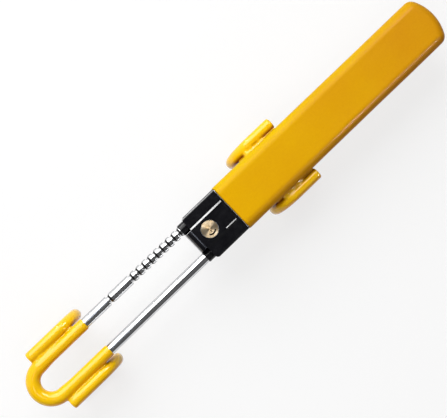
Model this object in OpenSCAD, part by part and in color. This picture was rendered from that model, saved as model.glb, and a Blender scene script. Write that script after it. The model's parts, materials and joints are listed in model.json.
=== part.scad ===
// Twin-bar steering wheel lock: a chromed U bar slides in a vinyl-covered handle, held by a keyed pawl.
// X runs from the bend to the handle's end, Z points out of the face, and the lock lies on its four hooks.

/* [Sliding bar] */
// Diameter of the round bar
bar_d = 11.5; // [11.2:0.1:11.8]
// Distance between the centre lines of the two legs
leg_spacing = 39.6; // [39.2:0.2:40.4]
// Length of bar that shows, from the nose of the head to the outside of the bend
bar_reach = 241; // [236:1:250]
// Length of bar inside the handle, from the head to the inner ends
bar_inner_l = 160; // [152:1:161]
// Thickness of the vinyl dip along the legs
leg_coat_t = 1.2; // [1:0.1:1.4]
// Thickness of the vinyl dip round the bend
bend_coat_t = 2.4; // [1.6:0.1:2.6]
// Length of the dip along a leg, from the bend
leg_coat_l = 68.7; // [64:0.1:70]
// Length over which the thick dip of the bend thins out along a leg
coat_taper_l = 16; // [10:1:24]

/* [Ratchet] */
// Distance from one ratchet groove to the next
groove_pitch = 8.86; // [8.7:0.01:8.9]
// Depth of a groove
groove_depth = 1.8; // [1.7:0.1:2]
// Width of a groove at the bar's surface
groove_w = 5.1; // [4.8:0.1:5.2]
// Width of a groove at its root
groove_root_w = 2.1; // [2:0.1:2.3]
// Extra width of the lone storage groove
storage_extra_w = 0.2; // [0:0.1:1]
// Ratchet grooves between the first one and the pawl, as drawn
grooves_out = 11; // [9:1:11]
// Ratchet grooves past the pawl, inside the handle
grooves_in = 14; // [9:1:14]
// Travel that brings the storage groove to the pawl
storage_travel = 130.6; // [122:0.2:131]

/* [Hooks] */
// Diameter of the hooks' steel bar
hook_bar_d = 11; // [10.6:0.1:11.4]
// Thickness of the vinyl dip on the hooks
hook_coat_t = 1.2; // [1:0.1:1.4]
// Bend radius of a hook, at its centre line
hook_bend_r = 28; // [26:0.5:30]
// Straight front arm of a hook beside the bar
u_hook_arm_l = 39.4; // [37:0.2:42]
// Straight back arm of a hook beside the bar
u_hook_back_l = 32; // [26:1:36]
// Straight front arm of a hook on the handle
body_hook_arm_l = 30.9; // [29:0.1:34]
// Straight back arm of a hook on the handle
body_hook_back_l = 30; // [24:1:34]
// Distance from the handle's front end to where its hooks bend
body_hook_x = 67.7; // [64:0.1:72]
// Inward lean of the hooks on the handle, in degrees
body_hook_lean = 4.5; // [2:0.5:6]

/* [Handle] */
// Length of the grip
grip_l = 313.6; // [310:0.2:330]
// Width of the grip
grip_w = 60.5; // [60:0.1:62]
// Thickness of the grip
grip_t = 36; // [35.6:0.1:36.6]
// Thickness of the grip's vinyl wall
grip_wall = 2.5; // [2.3:0.1:2.6]
// Radius of the grip's long edges
grip_edge_r = 11; // [10.4:0.1:11.4]
// Radius of the domed end, seen from the face
dome_r = 51.4; // [48:0.2:56]
// Wall of the steel tube
tube_wall = 2; // [1.8:0.1:2.1]

/* [Lock head] */
// Length of the head
head_l = 48.2; // [48:0.1:50]
// Width of the head
head_w = 58.6; // [58.4:0.1:59]
// Thickness of the head without its platform
head_t = 33.2; // [33:0.1:33.6]
// Wall of the head's moulded cover
cover_wall = 1.9; // [1.8:0.1:2]
// Width of the raised platform on the face
platform_w = 25.8; // [25:0.2:27]
// Height of the raised platform
platform_h = 1.2; // [1:0.1:1.3]
// Length of the rounded nose and of the collars ahead of the head
nose_l = 8.2; // [7.8:0.1:9]

/* [Lock cylinder] */
// Diameter of the brass barrel
barrel_d = 19; // [18.6:0.1:19.2]
// Diameter of the plug that turns in it
plug_d = 15.1; // [14.9:0.1:15.3]
// Distance from the head's front to the centre of the cylinder
barrel_x = 15.4; // [15:0.1:16]
// Travel of the pawl, which is also the throw of the crank pin
pawl_travel = 3.2; // [3.1:0.1:3.4]

/* [Hidden] */
$fn = 64;

// Overlap that carries a cut clear through a surface
cut = 1;
// Clearance round a sliding bar, and between fixed pieces that slip together
slide_gap = 0.1;
slip_gap = 0.2;
// Air between neighbouring vinyl skins
coat_gap = 0.3;
// Air beside the grip that its hooks need to lean inward
lean_gap = 0.9;

// Radii of the bars and of their skins
bar_r = bar_d / 2;
bore_r = bar_r + slide_gap;
leg_coat_r = bar_r + leg_coat_t;
bend_coat_r = bar_r + bend_coat_t;
hook_r = hook_bar_d / 2;
hook_coat_r = hook_r + hook_coat_t;
leg_y = leg_spacing / 2;

// Places along the lock, with the middle of its length at zero
total_l = bar_reach + nose_l + head_l + grip_l;
x_apex = -total_l / 2;
x_bend = x_apex + bend_coat_r + leg_y;
x_nose = x_apex + bar_reach;
x_head = x_nose + nose_l;
x_grip = x_head + head_l;
x_end = x_grip + grip_l;
x_lock = x_head + barrel_x;
x_tail = x_grip + bar_inner_l;

// Height of the bar's plane above the surface that the hooks lie on
z_bar = hook_coat_r + 2 * hook_bend_r;

// Grooves, yoke and retaining rings on the bar
groove_root_r = bar_r - groove_depth;
x_first_groove = x_lock - grooves_out * groove_pitch;
x_storage_groove = x_lock - storage_travel;
tail_chamfer = 1;
clip_t = 1.2;
clip_r = bar_r + 1.6;
clip_root_r = bar_r - 0.8;
clip_mouth = 100;
yoke_t = 10;
yoke_tail = 4;
x_yoke = x_tail - yoke_tail - yoke_t;
clip_places = [x_yoke - clip_t, x_yoke + yoke_t];

// Hooks
hook_tip_edge = hook_coat_r - 0.7;
hook_cut_edge = 2;
u_hook_overhang = 2;
u_hook_y = leg_y + leg_coat_r + coat_gap + hook_coat_r;
x_u_hook = x_bend - u_hook_overhang + u_hook_arm_l;
body_hook_y = grip_w / 2 + lean_gap + hook_coat_r;
x_body_hook = x_grip + body_hook_x;
weld_t = 6;
weld_reach = 4.4;
weld_fillet_r = 7;
weld_margin = 4;
lug_t = 8;
lug_front = 13.5;
lug_back = 12.5;
lug_flare = 4;

// Tube and grip sections
tube_w = grip_w - 2 * grip_wall;
tube_t = grip_t - 2 * grip_wall;
tube_r = grip_edge_r - grip_wall;
tube_in_w = tube_w - 2 * tube_wall;
tube_in_t = tube_t - 2 * tube_wall;
tube_in_r = tube_r - tube_wall;
// Width of what fills the tube between its walls, with the bars standing out of its sides
bar_stand_out = 2.2;
core_w = 2 * (leg_y + bar_r - bar_stand_out);
end_wall = 11;
plug_flange_t = 3;
plug_spigot_l = 6;
plug_wall = 2.4;
x_tube_end = x_end - end_wall - plug_flange_t;
grip_lip_r = 1.8;
// How far the round corners stand proud, so that they cross their neighbours cleanly
coin_proud = 0.02;

// Lock block and its shank in the tube
block_w = head_w - 2 * cover_wall;
block_t = head_t - 2 * cover_wall;
block_edge_r = 1.6;
x_block = x_head + cover_wall;
shank_l = 17;
block_pin_r = 2;
block_pin_x = x_grip + 9;
block_pin_y = 7;

// Head cover, its screws and the collars
head_edge_r = 2.6;
head_corner_r = 4;
cover_end_gap = 0.8;
platform_end_gap = 2.6;
platform_slope = 1.9;
nose_r = 8;
nose_drop = 15;
face_z = head_t / 2 + platform_h;
badge_l = 15.2;
badge_w = 24.4;
badge_depth = 0.8;
badge_slope = 1;
badge_end_rim = 1.2;
x_platform_end = x_grip - platform_end_gap;
barrel_window_r = barrel_d / 2 + 0.7;
screw_head_r = 2.8;
screw_r = 1.5;
screw_head_h = 1.6;
screw_l = 8.4;
screw_inset = 6.4;
recess_l = 3.2;
recess_w = 0.8;
recess_depth = 1.2;
collar_r = leg_coat_r;
collar_edge = 0.8;
collar_flange_r = 7.4;
collar_flange_t = 2;
nose_w = 2 * (leg_y - collar_r - slip_gap);

// Lock cylinder, cam and pawl, with heights from the bar's plane
pawl_t = 6;
pawl_gap = 0.2;
cam_t = 1.6;
cam_r = 7.4;
cam_bore_r = 8.3;
cam_z = pawl_t / 2 + 0.3;
plug_z = cam_z + cam_t;
barrel_z = plug_z + pawl_gap;
barrel_face_z = face_z - 0.1;
barrel_r = barrel_d / 2;
plug_r = plug_d / 2;
plug_gap = 0.05;
keyway_r = 6.2;
keyway_w = 1.7;
keyway_angle = 94;
keyway_depth = 8;
guide_holes = [[2.1, 0.75], [3.7, 0.5]];
guide_depth = 4;
crank_r = 1.2;
crank_l = pawl_t - 0.6;
cam_screw_r = 1;
cam_screw_head_r = 1.7;
cam_screw_head_h = 0.9;
cam_screw_l = 6.4;
barrel_pin_r = 1.4;
barrel_pin_y = barrel_r - 0.1;
barrel_pin_z = (barrel_z + barrel_face_z) / 2;
barrel_pin_l = barrel_x + 6;

// Pawl outline, with the axis of the cylinder at zero
pawl_bite = 1.4;
pawl_tip_y = leg_y - bar_r + pawl_bite - pawl_travel;
pawl_left = -4.1;
pawl_right = 7.1;
pawl_w = pawl_right - pawl_left;
pawl_tail_y = -8.5;
pawl_shoulder_y = 8;
nose_clear = 0.25;
nose_tip_w = 1.4;
groove_slope = (groove_w - groove_root_w) / groove_depth;
window_gap = 0.25;
window_side = 0.4;
window_relief = 2.1;
spring_x = (pawl_left + pawl_right) / 2;
spring_hole_r = 2.2;
spring_hole_y = -3.6;
pocket_top = pawl_t / 2 + pawl_gap;
pocket_end_y = -12.5;
pocket_open_y = leg_y - bar_r + 1;
pocket_cover_t = 2;
pocket_rim = 3;
pocket_boss_y = 13.4;

// Coil spring behind the pawl
spring_wire_d = 0.6;
spring_mean_r = 1.6;
spring_turns = 7;
spring_rings = 8;
spring_sides = 6;
spring_end_gap = 0.1;
spring_y0 = pocket_end_y + spring_end_gap + spring_wire_d / 2;
spring_y1 = spring_hole_y - spring_end_gap - spring_wire_d / 2;

// Colours
chrome = [0.80, 0.82, 0.84];
steel = [0.55, 0.56, 0.58];
vinyl = [0.93, 0.70, 0.02];
black = [0.06, 0.06, 0.07];
brass = [0.78, 0.62, 0.28];
zinc = [0.62, 0.63, 0.65];
nylon = [0.86, 0.85, 0.80];

// Everything is drawn round the bar's plane, then lifted onto the hooks
module at_bar() {
    translate([0, 0, z_bar])
        children();
}

module both_sides() {
    children();
    mirror([0, 1, 0])
        children();
}

module rounded_rect(w, h, r) {
    square([w - 2 * r, h], center = true);
    square([w, h - 2 * r], center = true);
    for (sx = [-1, 1], sy = [-1, 1])
        translate([sx * (w / 2 - r), sy * (h / 2 - r)])
            circle(r);
}

// Extrudes an outline, drawn as Y and Z, along X
module prism_x(x0, x1) {
    translate([x0, 0, 0])
        rotate([90, 0, 90])
            linear_extrude(height = x1 - x0)
                children();
}

// Straight round bar along X
module bar_x(r, x0, x1) {
    translate([x0, 0, 0])
        rotate([0, 90, 0])
            cylinder(r = r, h = x1 - x0);
}

// Round bar from zero along X, with a rounded far end
module capped_bar(r, l, edge) {
    rotate([0, 90, 0])
        rotate_extrude() {
            square([r - edge, l]);
            square([r, l - edge]);
            quarter_disc(r, l, edge);
        }
}

// Rounded outer corner of a half outline that reaches r out and l up
module quarter_disc(r, l, edge) {
    intersection() {
        translate([r - edge, l - edge])
            circle(edge);
        translate([r - edge, l - edge])
            square(edge);
    }
}

// Half ring of round bar, from above to below on the side of minus X
module half_ring(r, bend) {
    rotate([90, 0, 0])
        rotate([0, 0, 90])
            rotate_extrude(angle = 180)
                translate([bend, 0])
                    circle(r);
}

// J hook that opens along X, with its bend starting at zero
module hook_form(r, arm_l, back_l) {
    capped_bar(r, arm_l, hook_cut_edge);
    translate([0, 0, -hook_bend_r])
        half_ring(r, hook_bend_r);
    translate([0, 0, -2 * hook_bend_r])
        capped_bar(r, back_l, hook_tip_edge - hook_coat_r + r);
}

// Skin thickness shortens the steel at both ends of a hook
module hook_steel(arm_l, back_l) {
    hook_form(hook_r, arm_l - hook_coat_t, back_l - hook_coat_t);
}

module hook_skin(arm_l, back_l) {
    hook_form(hook_coat_r, arm_l, back_l);
}

module place_u_hook() {
    translate([x_u_hook, u_hook_y, 0])
        mirror([1, 0, 0])
            children();
}

module place_body_hook() {
    translate([x_body_hook, body_hook_y, 0])
        rotate([-body_hook_lean, 0, 0])
            children();
}

// Fillet weld between a leg and the hook beside it, hollow above and below, grown by the skin where asked
module u_weld(skin) {
    x0 = x_bend + weld_margin - skin;
    x1 = x_u_hook - weld_margin + skin;
    half_t = weld_t / 2 + skin;
    reach = weld_reach + skin;
    prism_x(x0, x1)
        difference() {
            translate([leg_y, -reach])
                square([u_hook_y - leg_y, 2 * reach]);
            for (s = [-1, 1])
                translate([(leg_y + u_hook_y) / 2, s * (half_t + weld_fillet_r)])
                    circle(weld_fillet_r);
        }
}

// Lug between the tube's side and a handle hook, flared toward the tube
module body_lug(skin, inner_y) {
    x0 = x_body_hook - lug_front - skin;
    x1 = x_body_hook + lug_back + skin;
    translate([0, 0, -lug_t / 2 - skin])
        linear_extrude(height = lug_t + 2 * skin)
            polygon([[x0, inner_y], [x0 + lug_flare, body_hook_y],
                     [x1 - lug_flare, body_hook_y], [x1, inner_y]]);
}

// One saw-tooth groove: a steep wall toward the bend and a slope toward the handle
function groove_points(x, extra) = [
    [bar_r, x - groove_w / 2],
    [groove_root_r, x - groove_w / 2],
    [groove_root_r, x - groove_w / 2 + groove_root_w + extra],
    [bar_r, x + groove_w / 2 + extra]
];

function clip_points(x) = [[bar_r, x], [clip_root_r, x], [clip_root_r, x + clip_t], [bar_r, x + clip_t]];

clip_grooves = [for (x = clip_places) each clip_points(x)];
ratchet_grooves = [
    for (i = [0:grooves_out + grooves_in])
        each groove_points(x_first_groove + i * groove_pitch, 0)
];
storage_groove = groove_points(x_storage_groove, storage_extra_w);

// Leg turned from its half outline, with the grooves listed from the bend inward
module leg(grooves) {
    rotate([0, 90, 0])
        rotate_extrude()
            polygon(concat([[0, x_bend], [bar_r, x_bend]], grooves,
                           [[bar_r, x_tail - tail_chamfer], [bar_r - tail_chamfer, x_tail], [0, x_tail]]));
}

module u_bend(r) {
    translate([x_bend, 0, 0])
        rotate([0, 0, 90])
            rotate_extrude(angle = 180)
                translate([leg_y, 0])
                    circle(r);
}

module u_bar() {
    color(chrome)
        at_bar() {
            u_bend(bar_r);
            translate([0, leg_y, 0])
                leg(concat(storage_groove, ratchet_grooves, clip_grooves));
            translate([0, -leg_y, 0])
                leg(clip_grooves);
        }
}

module u_bar_coat() {
    color(vinyl)
        at_bar()
            difference() {
                union() {
                    u_bend(bend_coat_r);
                    both_sides()
                        translate([x_bend, leg_y, 0])
                            rotate([0, 90, 0]) {
                                cylinder(r1 = bend_coat_r, r2 = leg_coat_r, h = coat_taper_l);
                                cylinder(r = leg_coat_r, h = leg_coat_l);
                            }
                }
                u_bend(bar_r);
                both_sides()
                    translate([0, leg_y, 0])
                        bar_x(bar_r, x_bend, x_bend + leg_coat_l + cut);
                both_sides()
                    u_weld(0);
            }
}

module u_hook() {
    color(steel)
        at_bar()
            difference() {
                union() {
                    place_u_hook()
                        hook_steel(u_hook_arm_l, u_hook_back_l);
                    u_weld(0);
                }
                translate([0, leg_y, 0])
                    bar_x(bar_r, x_bend - cut, x_u_hook + cut);
            }
}

module u_hook_coat() {
    color(vinyl)
        at_bar()
            difference() {
                union() {
                    place_u_hook()
                        hook_skin(u_hook_arm_l, u_hook_back_l);
                    u_weld(hook_coat_t);
                }
                place_u_hook()
                    hook_steel(u_hook_arm_l, u_hook_back_l);
                u_weld(0);
                u_bend(bend_coat_r);
                translate([x_bend, leg_y, 0])
                    rotate([0, 90, 0]) {
                        cylinder(r1 = bend_coat_r, r2 = leg_coat_r, h = coat_taper_l);
                        cylinder(r = leg_coat_r, h = leg_coat_l);
                    }
            }
}

module u_hook_left() {
    u_hook();
}

module u_hook_right() {
    mirror([0, 1, 0])
        u_hook();
}

module u_hook_left_coat() {
    u_hook_coat();
}

module u_hook_right_coat() {
    mirror([0, 1, 0])
        u_hook_coat();
}

module bar_yoke() {
    color(nylon)
        at_bar()
            difference() {
                prism_x(x_yoke, x_yoke + yoke_t)
                    rounded_rect(core_w, tube_in_t - 4 * slip_gap, tube_in_r - slip_gap);
                both_sides()
                    translate([0, leg_y, 0])
                        bar_x(bar_r, x_yoke - cut, x_yoke + yoke_t + cut);
            }
}

// Open retaining ring, seated in its groove, with its mouth toward the tube's side
module yoke_clip() {
    rotate([0, 90, 0])
        rotate([0, 0, 90 + clip_mouth / 2])
            rotate_extrude(angle = 360 - clip_mouth)
                translate([clip_root_r, 0])
                    square([clip_r - clip_root_r, clip_t]);
}

module yoke_clips() {
    color(steel)
        at_bar()
            for (x = clip_places)
                both_sides()
                    translate([x, leg_y, 0])
                        yoke_clip();
}

module block_pin_cut(r) {
    both_sides()
        translate([block_pin_x, block_pin_y, -tube_t / 2])
            cylinder(r = r, h = tube_t);
}

module handle_tube() {
    color(steel)
        at_bar()
            difference() {
                prism_x(x_grip, x_tube_end)
                    difference() {
                        rounded_rect(tube_w, tube_t, tube_r);
                        rounded_rect(tube_in_w, tube_in_t, tube_in_r);
                    }
                block_pin_cut(block_pin_r);
            }
}

// Half outline of a coin with round edges, as wide as its reach
module coin_half(reach, half_t, edge) {
    for (s = [0, 1])
        mirror([0, s]) {
            square([reach, half_t - edge]);
            quarter_disc(reach, half_t, edge);
            if (reach > edge)
                translate([0, half_t - edge])
                    square([reach - edge, edge]);
        }
}

// Where the grip's side edge turns into its dome
corner_y = grip_w / 2 - grip_edge_r;
corner_reach = sqrt(pow(dome_r - grip_edge_r, 2) - pow(corner_y, 2));
corner_angle = atan2(corner_y, corner_reach);
x_dome = x_end - dome_r;
x_corner = x_dome + corner_reach;

// Half outline of the grip's front slice, square behind and rounded in front
module lip_half(r) {
    square([r - grip_lip_r, grip_lip_r]);
    quarter_disc(r, grip_lip_r, grip_lip_r);
}

module lip_whole(r) {
    for (s = [0, 1])
        mirror([s, 0])
            lip_half(r);
}

// Front slice of the grip with its rounded lip, drawn lying down with the front upward
module grip_lip() {
    corner_z = grip_t / 2 - grip_edge_r;
    translate([0, corner_y, 0])
        rotate([90, 0, 0])
            linear_extrude(height = 2 * corner_y)
                lip_whole(grip_t / 2);
    translate([-corner_z, 0, 0])
        rotate([90, 0, 90])
            linear_extrude(height = 2 * corner_z)
                lip_whole(grip_w / 2);
    for (a = [0, 1], b = [0, 1])
        mirror([a, 0, 0])
            mirror([0, b, 0])
                translate([corner_z, corner_y, 0])
                    rotate_extrude(angle = 90)
                        lip_half(grip_edge_r);
}

// Solid grip: front lip, straight prism and a domed end with a round coin at each corner
module grip_form() {
    coin_r = grip_edge_r + coin_proud;
    translate([x_grip + grip_lip_r, 0, 0])
        rotate([0, -90, 0])
            grip_lip();
    prism_x(x_grip + grip_lip_r, x_corner)
        rounded_rect(grip_w, grip_t, grip_edge_r);
    both_sides() {
        translate([x_dome, 0, 0])
            rotate_extrude(angle = corner_angle)
                coin_half(dome_r, grip_t / 2, grip_edge_r);
        translate([x_corner, corner_y, 0])
            rotate_extrude()
                coin_half(coin_r, grip_t / 2 + coin_proud, coin_r);
    }
}

module handle_grip() {
    color(vinyl)
        at_bar()
            difference() {
                grip_form();
                prism_x(x_grip - cut, x_tube_end + plug_flange_t)
                    rounded_rect(tube_w, tube_t, tube_r);
                both_sides()
                    body_lug(0, tube_w / 2);
            }
}

module tube_end_plug() {
    color(black)
        at_bar()
            difference() {
                union() {
                    prism_x(x_tube_end, x_tube_end + plug_flange_t)
                        rounded_rect(tube_w, tube_t, tube_r);
                    prism_x(x_tube_end - plug_spigot_l, x_tube_end)
                        rounded_rect(tube_in_w - slip_gap, tube_in_t - slip_gap, tube_in_r);
                }
                prism_x(x_tube_end - plug_spigot_l - cut, x_tube_end)
                    rounded_rect(tube_in_w - 2 * plug_wall, tube_in_t - 2 * plug_wall, tube_in_r - plug_wall);
            }
}

module body_hook() {
    color(steel)
        at_bar() {
            place_body_hook()
                hook_steel(body_hook_arm_l, body_hook_back_l);
            body_lug(0, tube_w / 2);
        }
}

module body_hook_coat() {
    color(vinyl)
        at_bar()
            difference() {
                union() {
                    place_body_hook()
                        hook_skin(body_hook_arm_l, body_hook_back_l);
                    body_lug(hook_coat_t, grip_w / 2);
                }
                place_body_hook()
                    hook_steel(body_hook_arm_l, body_hook_back_l);
                body_lug(0, tube_w / 2);
            }
}

module body_hook_left() {
    body_hook();
}

module body_hook_right() {
    mirror([0, 1, 0])
        body_hook();
}

module body_hook_left_coat() {
    body_hook_coat();
}

module body_hook_right_coat() {
    mirror([0, 1, 0])
        body_hook_coat();
}

// Puts children at the axis of the lock cylinder
module at_lock() {
    translate([x_lock, 0, 0])
        children();
}

module pawl_pocket() {
    at_lock() {
        translate([pawl_left - pawl_gap, pocket_end_y, -block_t])
            cube([pawl_w + 2 * pawl_gap, pocket_open_y - pocket_end_y, block_t + pocket_top]);
        pocket_plate();
    }
}

module pocket_plate() {
    l = pocket_boss_y - pocket_end_y;
    translate([pawl_left - pocket_rim, pocket_end_y - pocket_rim, -block_t / 2])
        cube([pawl_w + 2 * pocket_rim, l + 2 * pocket_rim, pocket_cover_t]);
}

module barrel_pin_form() {
    translate([0, barrel_pin_y, barrel_pin_z])
        bar_x(barrel_pin_r, x_block, x_block + barrel_pin_l);
}

module cover_screw() {
    cylinder(r1 = screw_head_r, r2 = screw_r, h = screw_head_h);
    cylinder(r = screw_r, h = screw_l);
}

// Cross slot in the head of a screw
module cross_recess() {
    for (a = [0, 90])
        rotate([0, 0, a])
            translate([-recess_l / 2, -recess_w / 2, -cut])
                cube([recess_l, recess_w, recess_depth + cut]);
}

// Puts children at the four screws of the cover, on its back
module at_cover_screws() {
    for (x = [x_head + screw_inset, x_grip - screw_inset])
        both_sides()
            translate([x, leg_y, -head_t / 2])
                children();
}

module lock_block() {
    color(zinc)
        at_bar()
            difference() {
                union() {
                    prism_x(x_block, x_grip)
                        rounded_rect(block_w, block_t, block_edge_r);
                    prism_x(x_grip, x_grip + shank_l)
                        rounded_rect(core_w, tube_in_t - slip_gap, tube_in_r);
                }
                both_sides()
                    translate([0, leg_y, 0]) {
                        bar_x(bore_r, x_block - cut, x_grip + shank_l + cut);
                        bar_x(collar_flange_r, x_block - cut, x_block + collar_flange_t);
                    }
                at_lock() {
                    translate([0, 0, barrel_z])
                        cylinder(r = barrel_r, h = block_t);
                    translate([0, 0, pocket_top])
                        cylinder(r = cam_bore_r, h = block_t);
                }
                pawl_pocket();
                barrel_pin_form();
                at_cover_screws()
                    cover_screw();
                block_pin_cut(block_pin_r);
            }
}

module block_pins() {
    color(steel)
        at_bar()
            block_pin_cut(block_pin_r);
}

// Outline of the head from its face, with rounded front corners
module head_plan() {
    l = head_l - cover_end_gap;
    translate([x_head, -head_w / 2 + head_corner_r])
        square([l, head_w - 2 * head_corner_r]);
    translate([x_head + head_corner_r, -head_w / 2])
        square([l - head_corner_r, head_w]);
    for (s = [-1, 1])
        translate([x_head + head_corner_r, s * (head_w / 2 - head_corner_r)])
            circle(head_corner_r);
}

module head_shell() {
    intersection() {
        prism_x(x_head, x_grip - cover_end_gap)
            rounded_rect(head_w, head_t, head_edge_r);
        translate([0, 0, -head_t])
            linear_extrude(height = 2 * head_t)
                head_plan();
    }
}

// Raised middle of the face, with sloped sides
module head_platform() {
    prism_x(x_head, x_platform_end)
        polygon([[-platform_w / 2 - platform_slope, 0], [-platform_w / 2 - platform_slope, head_t / 2],
                 [-platform_w / 2, face_z], [platform_w / 2, face_z],
                 [platform_w / 2 + platform_slope, head_t / 2], [platform_w / 2 + platform_slope, 0]]);
}

// Bare badge recess, with sloped sides
module badge_recess() {
    x1 = x_platform_end - badge_end_rim;
    floor_w = badge_w - 2 * badge_slope;
    prism_x(x1 - badge_l, x1)
        polygon([[-floor_w / 2, face_z - badge_depth], [floor_w / 2, face_z - badge_depth],
                 [badge_w / 2, face_z], [badge_w / 2, face_z + cut],
                 [-badge_w / 2, face_z + cut], [-badge_w / 2, face_z]]);
}

// Rounded nose between the collars, from its side outline
module head_nose() {
    l = x_block - x_nose;
    translate([x_nose, nose_w / 2, 0])
        rotate([90, 0, 0])
            linear_extrude(height = nose_w) {
                translate([nose_r, -nose_drop])
                    square([l - nose_r, face_z + nose_drop]);
                translate([0, -nose_drop + nose_r])
                    square([l, face_z + nose_drop - 2 * nose_r]);
                translate([nose_r, face_z - nose_r])
                    circle(nose_r);
                translate([nose_r, -nose_drop + nose_r])
                    circle(nose_r);
            }
}

module head_cover() {
    color(black)
        at_bar()
            difference() {
                union() {
                    head_shell();
                    head_platform();
                    head_nose();
                }
                prism_x(x_block, x_grip)
                    rounded_rect(block_w, block_t, block_edge_r);
                both_sides()
                    translate([0, leg_y, 0])
                        bar_x(collar_r, x_head - cut, x_block + cut);
                at_lock()
                    cylinder(r = barrel_window_r, h = head_t);
                badge_recess();
                at_cover_screws()
                    cover_screw();
            }
}

module cover_screws() {
    color(steel)
        at_bar()
            at_cover_screws()
                difference() {
                    cover_screw();
                    cross_recess();
                }
}

// Collar turned from its half outline, with a flange behind the cover
module bar_collar() {
    color(black)
        at_bar()
            translate([x_nose, leg_y, 0])
                rotate([0, 90, 0])
                    rotate_extrude()
                        polygon([[bore_r, 0], [collar_r - collar_edge, 0], [collar_r, collar_edge],
                                 [collar_r, x_block - x_nose], [collar_flange_r, x_block - x_nose],
                                 [collar_flange_r, x_block - x_nose + collar_flange_t],
                                 [bore_r, x_block - x_nose + collar_flange_t]]);
}

module bar_collar_left() {
    bar_collar();
}

module bar_collar_right() {
    mirror([0, 1, 0])
        bar_collar();
}

module pocket_cover() {
    boss_z = -block_t / 2 + pocket_cover_t;
    color(zinc)
        at_bar()
            at_lock() {
                pocket_plate();
                translate([pawl_left, pocket_end_y + pawl_gap, boss_z])
                    cube([pawl_w, pocket_boss_y - pocket_end_y - pawl_gap, -pocket_top - boss_z]);
            }
}

module lock_barrel() {
    color(brass)
        at_bar()
            difference() {
                at_lock()
                    translate([0, 0, barrel_z])
                        difference() {
                            cylinder(r = barrel_r, h = barrel_face_z - barrel_z);
                            translate([0, 0, -cut])
                                cylinder(r = plug_r + plug_gap, h = head_t);
                        }
                barrel_pin_form();
            }
}

module barrel_pin() {
    color(steel)
        at_bar()
            barrel_pin_form();
}

// Crescent keyway, low on the face of the plug
module keyway() {
    rotate([0, 0, -90 - keyway_angle / 2])
        rotate_extrude(angle = keyway_angle)
            translate([keyway_r - keyway_w / 2, 0])
                square([keyway_w, keyway_depth + cut]);
}

module cam_screw_form() {
    translate([0, 0, cam_z]) {
        cylinder(r1 = cam_screw_head_r, r2 = cam_screw_r, h = cam_screw_head_h);
        cylinder(r = cam_screw_r, h = cam_screw_l);
    }
}

module lock_plug() {
    color(brass)
        at_bar()
            at_lock()
                difference() {
                    translate([0, 0, plug_z])
                        cylinder(r = plug_r, h = barrel_face_z - plug_z);
                    translate([0, 0, barrel_face_z - keyway_depth])
                        keyway();
                    for (hole = guide_holes)
                        translate([0, -hole[0], barrel_face_z - guide_depth])
                            cylinder(r = hole[1], h = guide_depth + cut);
                    cam_screw_form();
                }
}

// Disc on the plug's tail, with the crank pin that works the pawl
module plug_cam() {
    color(steel)
        at_bar()
            at_lock()
                difference() {
                    union() {
                        translate([0, 0, cam_z])
                            cylinder(r = cam_r, h = cam_t);
                        translate([pawl_travel, 0, cam_z - crank_l])
                            cylinder(r = crank_r, h = crank_l);
                    }
                    cam_screw_form();
                }
}

module cam_screw() {
    color(steel)
        at_bar()
            at_lock()
                cam_screw_form();
}

// Pawl seen from the face: body, saw-tooth nose and the crank's window, which lets the bar click outward
module pawl_outline() {
    nose_left = -groove_w / 2 + nose_clear;
    nose_right = nose_left + nose_tip_w;
    difference() {
        polygon([[pawl_left, pawl_tail_y], [pawl_right, pawl_tail_y], [pawl_right, pawl_shoulder_y],
                 [nose_right + groove_slope * (pawl_tip_y - pawl_shoulder_y), pawl_shoulder_y],
                 [nose_right, pawl_tip_y], [nose_left, pawl_tip_y],
                 [nose_left, pawl_shoulder_y], [pawl_left, pawl_shoulder_y]]);
        translate([-crank_r - window_side, -crank_r - window_gap])
            square([pawl_travel + 2 * crank_r + 2 * window_side, 2 * crank_r + window_gap + window_relief]);
    }
}

module pawl() {
    color(steel)
        at_bar()
            at_lock()
                difference() {
                    translate([0, 0, -pawl_t / 2])
                        linear_extrude(height = pawl_t)
                            pawl_outline();
                    translate([spring_x, spring_hole_y, 0])
                        rotate([90, 0, 0])
                            cylinder(r = spring_hole_r, h = block_w);
                }
}

// Centre line of the coil, as a function of the ring's number
spring_last = spring_turns * spring_rings;
function spring_point(i) = [
    spring_x + spring_mean_r * cos(360 * i / spring_rings),
    spring_y0 + (spring_y1 - spring_y0) * i / spring_last,
    spring_mean_r * sin(360 * i / spring_rings)
];
function spring_ring(i) = [
    for (k = [0:spring_sides - 1])
        let (a = 360 * i / spring_rings, b = 360 * k / spring_sides, w = spring_wire_d / 2)
            spring_point(i) + [w * cos(b) * cos(a), w * sin(b), w * cos(b) * sin(a)]
];
// Least gap from one curl to any later one, measured on the ring centres
spring_gap = min([
    for (i = [0:spring_last - spring_rings / 2], j = [i + spring_rings / 2:spring_last])
        norm(spring_point(i) - spring_point(j)) - spring_wire_d
]);
echo(spring_least_gap_mm = spring_gap);

module pawl_spring() {
    sides = spring_sides;
    walls = [
        for (i = [0:spring_last - 1], k = [0:sides - 1])
            let (a = i * sides + k, b = i * sides + (k + 1) % sides)
                each [[a, b, b + sides], [a, b + sides, a + sides]]
    ];
    start = [for (k = [1:sides - 2]) [0, k + 1, k]];
    last = spring_last * sides;
    finish = [for (k = [1:sides - 2]) [last, last + k, last + k + 1]];
    color(steel)
        at_bar()
            at_lock()
                polyhedron(points = [for (i = [0:spring_last]) each spring_ring(i)],
                           faces = concat(walls, start, finish));
}

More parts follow.
